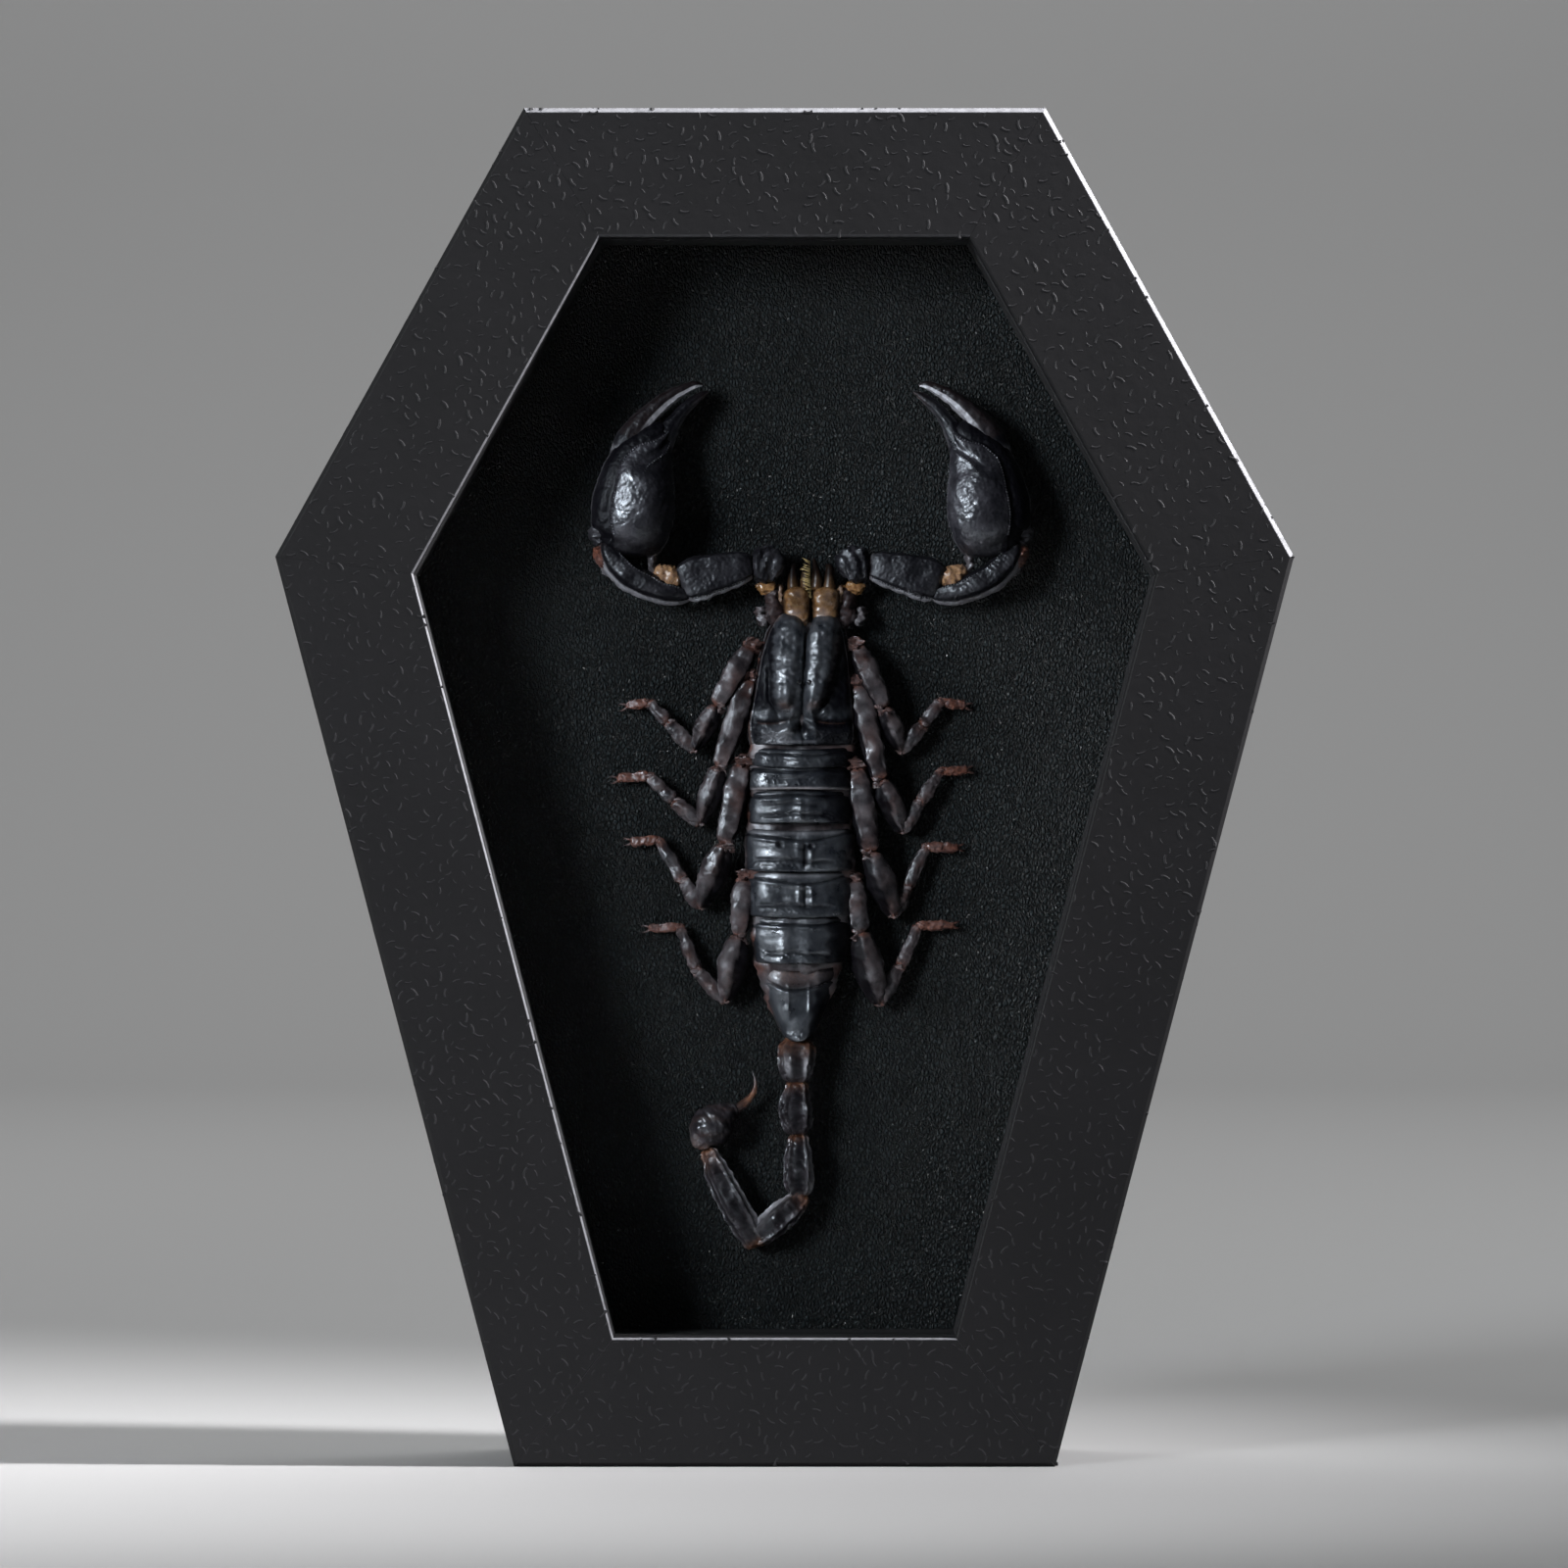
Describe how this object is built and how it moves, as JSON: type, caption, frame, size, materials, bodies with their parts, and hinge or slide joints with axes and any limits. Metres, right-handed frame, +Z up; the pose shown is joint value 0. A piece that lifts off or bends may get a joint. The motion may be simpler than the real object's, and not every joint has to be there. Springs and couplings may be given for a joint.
{
  "type": "framed scorpion specimen",
  "caption": "Dried scorpion laid flat on black leather in a glazed coffin-shaped shadow box with mitred charcoal rails, which stands on its base or hangs by its back.",
  "frame": {"origin": "middle of the outer box's bottom, on the surface that the case stands on", "axes": "+Z up the case, from the base to the top rail; +Y from the front to the back; +X to the right of someone who looks at the front"},
  "size_m": [0.15, 0.028, 0.2],
  "materials": {
    "charcoal_rail": "fibreboard moulding in a matt charcoal covering, embossed with short curved fibre flecks",
    "black_card": "matt black card",
    "clear_glass": "clear low-reflection picture glass",
    "black_leather": "black pebbled leather with a faint blue-green tint",
    "grey_board": "grey mounting board",
    "black_fibreboard": "thin fibreboard stained black",
    "zinc_steel": "bright zinc-plated steel strip",
    "black_chitin": "glossy blue-black shell, purplish brown on the legs and amber at the joints"
  },
  "bodies": {
    "root": {"rail_top": "charcoal_rail", "rail_upper_right": "charcoal_rail", "rail_lower_right": "charcoal_rail", "rail_bottom": "charcoal_rail", "rail_lower_left": "charcoal_rail", "rail_upper_left": "charcoal_rail", "spacer_top": "black_card", "spacer_upper_right": "black_card", "spacer_lower_right": "black_card", "spacer_bottom": "black_card", "spacer_lower_left": "black_card", "spacer_upper_left": "black_card", "glass_pane": "clear_glass", "leather_lining": "black_leather", "backing_board": "grey_board", "back_panel": "black_fibreboard", "back_tab_top": "zinc_steel", "back_tab_upper_right": "zinc_steel", "back_tab_lower_right": "zinc_steel", "back_tab_bottom": "zinc_steel", "back_tab_lower_left": "zinc_steel", "back_tab_upper_left": "zinc_steel", "sawtooth_hanger": "zinc_steel", "scorpion_body": "black_chitin", "scorpion_left_claw_arm": "black_chitin", "scorpion_right_claw_arm": "black_chitin", "scorpion_tail": "black_chitin"}
  },
  "joints": []
}
